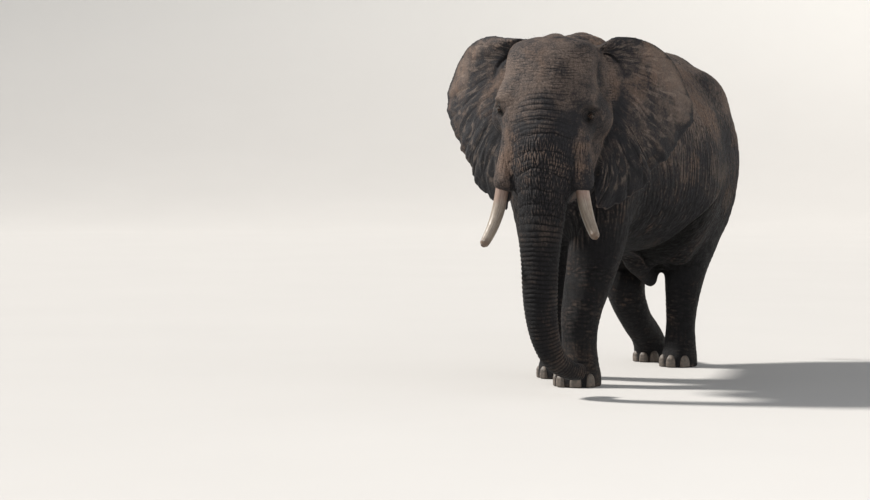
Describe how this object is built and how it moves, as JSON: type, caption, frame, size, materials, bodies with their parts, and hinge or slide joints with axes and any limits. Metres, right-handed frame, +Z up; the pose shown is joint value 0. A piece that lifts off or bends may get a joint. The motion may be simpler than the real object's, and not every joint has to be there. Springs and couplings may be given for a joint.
{
  "type": "elephant",
  "caption": "African elephant bull, walking: a still life-size model with spread ears, short tusks and a hanging trunk, standing on its own feet.",
  "frame": {"origin": "middle of the model's box, on the floor under the belly", "axes": "+Z up; the elephant walks towards -Y, and its left side is +X"},
  "size_m": [2.1714, 5.1194, 3.1984],
  "materials": {
    "hide": "dry wrinkled grey-brown hide",
    "ivory": "worn, stained ivory",
    "toenail": "rough horn",
    "eyeball": "wet, dark amber",
    "bristle": "stiff black hair"
  },
  "bodies": {
    "root": {"barrel": "hide", "ear_left": "hide", "ear_right": "hide", "eye_left": "eyeball", "eye_right": "eyeball", "forearm_left": "hide", "forearm_right": "hide", "forefoot_left": "hide", "forefoot_right": "hide", "foreshank_left": "hide", "foreshank_right": "hide", "head": "hide", "hindfoot_left": "hide", "hindfoot_right": "hide", "hindquarters": "hide", "hindshank_left": "hide", "hindshank_right": "hide", "lower_jaw": "hide", "nail_fore_left_1": "toenail", "nail_fore_left_2": "toenail", "nail_fore_left_3": "toenail", "nail_fore_left_4": "toenail", "nail_fore_right_1": "toenail", "nail_fore_right_2": "toenail", "nail_fore_right_3": "toenail", "nail_fore_right_4": "toenail", "nail_hind_left_1": "toenail", "nail_hind_left_2": "toenail", "nail_hind_left_3": "toenail", "nail_hind_right_1": "toenail", "nail_hind_right_2": "toenail", "nail_hind_right_3": "toenail", "neck": "hide", "shoulders": "hide", "tail": "hide", "tail_tuft": "bristle", "trunk_lower": "hide", "trunk_middle": "hide", "trunk_tip": "hide", "trunk_upper": "hide", "tusk_left": "ivory", "tusk_right": "ivory"}
  },
  "joints": []
}
